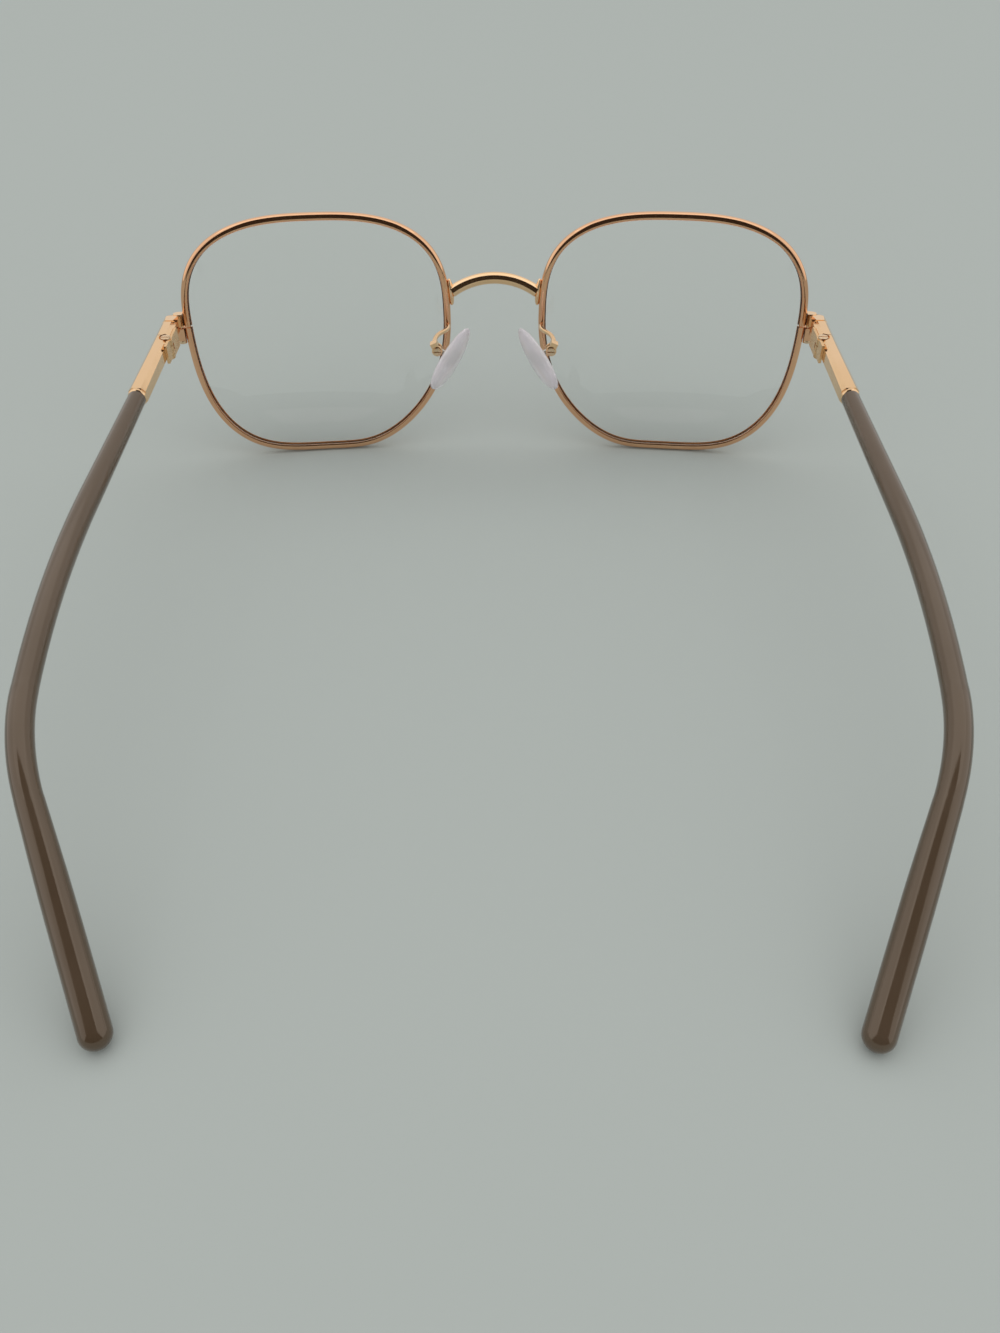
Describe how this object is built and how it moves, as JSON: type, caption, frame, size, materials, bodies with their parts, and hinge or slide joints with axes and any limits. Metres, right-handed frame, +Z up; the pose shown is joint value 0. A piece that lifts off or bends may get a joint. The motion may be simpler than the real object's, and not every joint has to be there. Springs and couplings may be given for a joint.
{
  "type": "eyeglasses",
  "caption": "Square wire-rim eyeglasses with an arched bridge, clear nose pads, and hinged temples whose metal fronts end in long bent sleeves.",
  "frame": {"origin": "on the table, in the middle of the standing, open glasses, under the middle of the bridge in X", "axes": "+X to the wearer's left, +Y to the back along the temples, +Z up"},
  "size_m": [0.1348, 0.1482, 0.0482],
  "materials": {
    "rim_wire": "polished rose gold plating",
    "bar_metal": "bright rose gold plating",
    "hinge_metal": "satin rose gold plating",
    "screws": "gold tinted steel",
    "steel": "drawn steel",
    "lens": "clear and polished",
    "pads": "soft clear silicone",
    "sleeve": "glossy taupe brown acetate"
  },
  "bodies": {
    "front": {"bridge": "bar_metal", "left_rim": "rim_wire", "left_lens": "lens", "left_pad_arm": "rim_wire", "left_pad_screw": "screws", "left_endpiece": "bar_metal", "left_rim_lock": "rim_wire", "left_rim_screw": "screws", "left_front_hinge": "hinge_metal", "left_hinge_screw": "screws", "right_rim": "rim_wire", "right_lens": "lens", "right_pad_arm": "rim_wire", "right_pad_screw": "screws", "right_endpiece": "bar_metal", "right_rim_lock": "rim_wire", "right_rim_screw": "screws", "right_front_hinge": "hinge_metal", "right_hinge_screw": "screws"},
    "left_temple": {"left_temple_hinge": "hinge_metal", "left_temple_front": "bar_metal", "left_temple_core": "steel", "left_temple_sleeve": "sleeve"},
    "left_pad": {"left_nose_pad": "pads", "left_pad_core": "steel"},
    "right_temple": {"right_temple_hinge": "hinge_metal", "right_temple_front": "bar_metal", "right_temple_core": "steel", "right_temple_sleeve": "sleeve"},
    "right_pad": {"right_nose_pad": "pads", "right_pad_core": "steel"}
  },
  "joints": [
    {"name": "left_temple_fold", "type": "hinge", "parent": "front", "child": "left_temple", "pos_m": [0.06254, -0.05615, 0.0284], "axis": [0, 0, 1], "range_deg": [0, 87]},
    {"name": "right_temple_fold", "type": "hinge", "parent": "front", "child": "right_temple", "pos_m": [-0.06254, -0.05615, 0.0284], "axis": [0, 0, -1], "range_deg": [0, 81]},
    {"name": "left_pad_rock", "type": "hinge", "parent": "front", "child": "left_pad", "pos_m": [0.0111, -0.06005, 0.02617], "axis": [0, 1, 0], "range_deg": [-12, 12]},
    {"name": "right_pad_rock", "type": "hinge", "parent": "front", "child": "right_pad", "pos_m": [-0.0111, -0.06005, 0.02617], "axis": [0, -1, 0], "range_deg": [-12, 12]}
  ]
}
